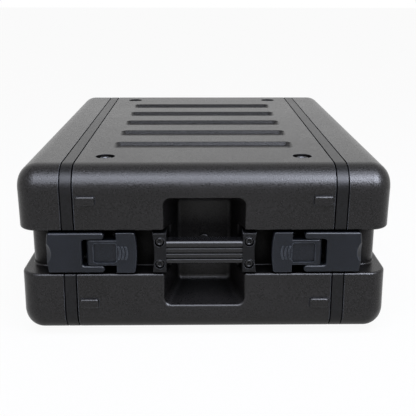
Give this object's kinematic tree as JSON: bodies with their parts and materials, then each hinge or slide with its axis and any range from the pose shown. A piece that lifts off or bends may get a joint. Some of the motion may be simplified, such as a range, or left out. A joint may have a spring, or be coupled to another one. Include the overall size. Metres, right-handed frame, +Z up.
{
  "type": "rack case",
  "caption": "Moulded rack case with lift-off end lids held by draw latches, recessed grips, stacking grooves and inner rack rails.",
  "frame": {"origin": "on the ground under the middle of the case", "axes": "+X towards the rear lid, +Y across the rack's width towards the far handle, +Z up"},
  "size_m": [0.435, 0.5806, 0.2088],
  "materials": {
    "shell_plastic": "fine moulded texture, satin",
    "latch_plastic": "smooth moulded slate grey, satin",
    "base_plastic": "smooth moulded black",
    "bracket_metal": "rough black powder coat",
    "rail_steel": "black powder coat",
    "bolt_steel": "black oxide",
    "screw_steel": "black zinc",
    "zinc_steel": "bright zinc",
    "grip_rubber": "ribbed satin rubber",
    "foot_rubber": "matt rubber",
    "seal_rubber": "matt foam rubber",
    "plug_plastic": "smooth black"
  },
  "bodies": {
    "case_body": {"body_shell": "shell_plastic", "front_collar": "shell_plastic", "rear_collar": "shell_plastic", "rail_nuts": "zinc_steel", "handle_nuts": "zinc_steel", "backing_plates": "zinc_steel", "near_handle_core": "zinc_steel", "far_handle_core": "zinc_steel", "top_screws": "screw_steel", "foot_screws": "screw_steel", "base_screws": "screw_steel", "rubber_feet": "foot_rubber", "near_handle_grip": "grip_rubber", "far_handle_grip": "grip_rubber", "handle_bolts": "bolt_steel", "pocket_plugs": "plug_plastic", "front_near_rail": "rail_steel", "front_near_bracket": "bracket_metal", "front_near_latch_base": "base_plastic", "front_near_lever_pin": "zinc_steel", "front_far_rail": "rail_steel", "front_far_bracket": "bracket_metal", "front_far_latch_base": "base_plastic", "front_far_lever_pin": "zinc_steel", "rear_near_rail": "rail_steel", "rear_near_bracket": "bracket_metal", "rear_near_latch_base": "base_plastic", "rear_near_lever_pin": "zinc_steel", "rear_far_rail": "rail_steel", "rear_far_bracket": "bracket_metal", "rear_far_latch_base": "base_plastic", "rear_far_lever_pin": "zinc_steel"},
    "front_lid_body": {"front_lid": "shell_plastic", "front_seal": "seal_rubber", "front_keeper_screws": "screw_steel", "front_near_keeper": "base_plastic", "front_far_keeper": "base_plastic"},
    "front_near_lever_body": {"front_near_latch_lever": "latch_plastic", "front_near_link_pin": "zinc_steel"},
    "front_near_arm_body": {"front_near_latch_arm": "latch_plastic"},
    "front_far_lever_body": {"front_far_latch_lever": "latch_plastic", "front_far_link_pin": "zinc_steel"},
    "front_far_arm_body": {"front_far_latch_arm": "latch_plastic"},
    "rear_lid_body": {"rear_lid": "shell_plastic", "rear_seal": "seal_rubber", "rear_keeper_screws": "screw_steel", "rear_near_keeper": "base_plastic", "rear_far_keeper": "base_plastic"},
    "rear_near_lever_body": {"rear_near_latch_lever": "latch_plastic", "rear_near_link_pin": "zinc_steel"},
    "rear_near_arm_body": {"rear_near_latch_arm": "latch_plastic"},
    "rear_far_lever_body": {"rear_far_latch_lever": "latch_plastic", "rear_far_link_pin": "zinc_steel"},
    "rear_far_arm_body": {"rear_far_latch_arm": "latch_plastic"}
  },
  "joints": [
    {"name": "front_lid_slide", "type": "slide", "parent": "case_body", "child": "front_lid_body", "axis": [-1, 0, 0], "range_m": [0, 0.025]},
    {"name": "front_near_lever_hinge", "type": "hinge", "parent": "case_body", "child": "front_near_lever_body", "pos_m": [-0.132, -0.277, 0.1064], "axis": [0, 0, -1], "range_deg": [0, 90]},
    {"name": "front_near_arm_hinge", "type": "hinge", "parent": "front_near_lever_body", "child": "front_near_arm_body", "pos_m": [-0.1215, -0.277, 0.1064], "axis": [0, 0, 1], "range_deg": [0, 120]},
    {"name": "front_far_lever_hinge", "type": "hinge", "parent": "case_body", "child": "front_far_lever_body", "pos_m": [-0.132, 0.277, 0.1064], "axis": [0, 0, 1], "range_deg": [0, 90]},
    {"name": "front_far_arm_hinge", "type": "hinge", "parent": "front_far_lever_body", "child": "front_far_arm_body", "pos_m": [-0.1215, 0.277, 0.1064], "axis": [0, 0, -1], "range_deg": [0, 120]},
    {"name": "rear_lid_slide", "type": "slide", "parent": "case_body", "child": "rear_lid_body", "axis": [1, 0, 0], "range_m": [0, 0.025]},
    {"name": "rear_near_lever_hinge", "type": "hinge", "parent": "case_body", "child": "rear_near_lever_body", "pos_m": [0.132, -0.277, 0.1064], "axis": [0, 0, 1], "range_deg": [0, 90]},
    {"name": "rear_near_arm_hinge", "type": "hinge", "parent": "rear_near_lever_body", "child": "rear_near_arm_body", "pos_m": [0.1215, -0.277, 0.1064], "axis": [0, 0, -1], "range_deg": [0, 120]},
    {"name": "rear_far_lever_hinge", "type": "hinge", "parent": "case_body", "child": "rear_far_lever_body", "pos_m": [0.132, 0.277, 0.1064], "axis": [0, 0, -1], "range_deg": [0, 90]},
    {"name": "rear_far_arm_hinge", "type": "hinge", "parent": "rear_far_lever_body", "child": "rear_far_arm_body", "pos_m": [0.1215, 0.277, 0.1064], "axis": [0, 0, 1], "range_deg": [0, 120]}
  ],
  "couplings": [
    {"joint": "front_near_lever_hinge", "follows": "front_lid_slide", "rad_per_m": 62.8},
    {"joint": "front_near_arm_hinge", "follows": "front_lid_slide", "rad_per_m": 83.7},
    {"joint": "front_far_lever_hinge", "follows": "front_lid_slide", "rad_per_m": 62.8},
    {"joint": "front_far_arm_hinge", "follows": "front_lid_slide", "rad_per_m": 83.7},
    {"joint": "rear_near_lever_hinge", "follows": "rear_lid_slide", "rad_per_m": 62.8},
    {"joint": "rear_near_arm_hinge", "follows": "rear_lid_slide", "rad_per_m": 83.7},
    {"joint": "rear_far_lever_hinge", "follows": "rear_lid_slide", "rad_per_m": 62.8},
    {"joint": "rear_far_arm_hinge", "follows": "rear_lid_slide", "rad_per_m": 83.7}
  ]
}
